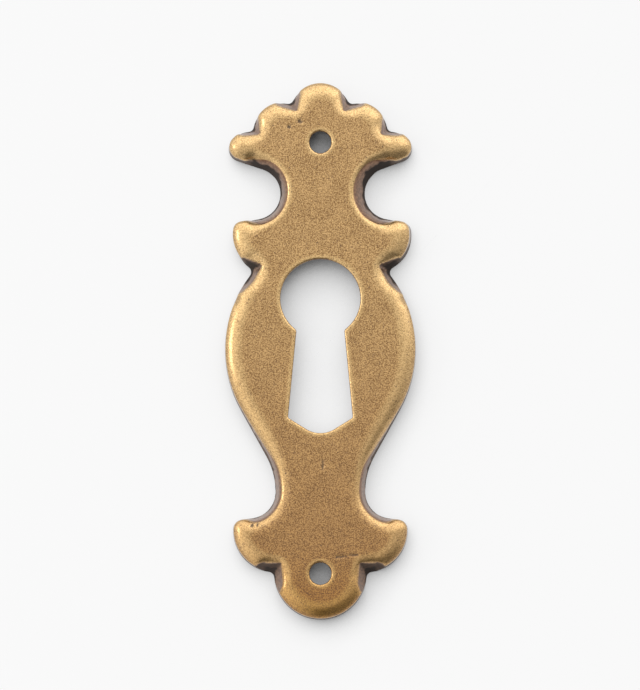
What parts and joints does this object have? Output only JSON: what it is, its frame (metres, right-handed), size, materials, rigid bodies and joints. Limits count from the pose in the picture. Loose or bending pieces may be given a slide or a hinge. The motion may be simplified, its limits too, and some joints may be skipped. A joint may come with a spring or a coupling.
{
  "type": "keyhole escutcheon",
  "caption": "Hollow pressed brass keyhole escutcheon with a lobed crown, scrolled shoulders and urn-shaped body, pierced for a key and for screws at top and bottom.",
  "frame": {"origin": "middle of the plate's length and width, in the plane of its trimmed back edge", "axes": "+Y along the plate towards its crown, +Z out of its front face, +X to the right seen from the front"},
  "size_m": [0.0254, 0.0714, 0.0032],
  "materials": {
    "antique_brass": "relieved antique brass, dark in the recesses and worn bright on the edges"
  },
  "bodies": {
    "root": {"escutcheon_plate": "antique_brass"}
  },
  "joints": []
}
